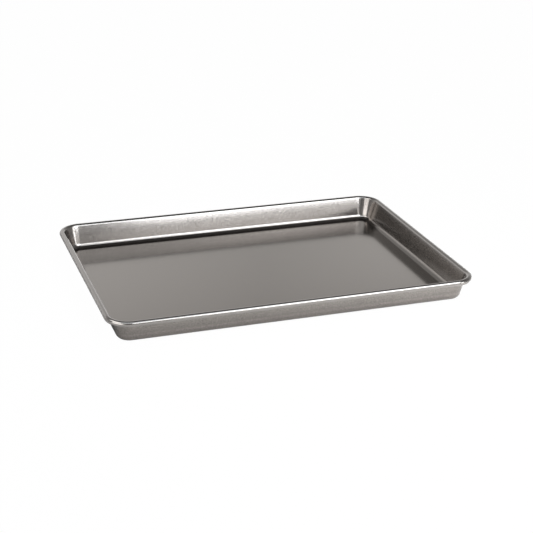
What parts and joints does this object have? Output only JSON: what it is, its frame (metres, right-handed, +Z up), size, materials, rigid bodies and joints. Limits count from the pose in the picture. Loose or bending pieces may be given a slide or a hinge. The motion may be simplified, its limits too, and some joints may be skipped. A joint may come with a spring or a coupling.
{
  "type": "jelly roll pan",
  "caption": "Shallow rectangular baking pan drawn from one steel sheet, with leaning walls, rounded corners and a rim curled around a wire.",
  "frame": {"origin": "middle of the flat bottom that the pan stands on", "axes": "+X along the pan's long side, +Y along its short side, +Z up out of the open top"},
  "size_m": [0.41, 0.298, 0.0275],
  "materials": {
    "pan_finish": "satin warm grey metallic",
    "wire_steel": "drawn galvanised wire"
  },
  "bodies": {
    "root": {"pan_shell": "pan_finish", "rim_wire": "wire_steel"}
  },
  "joints": []
}
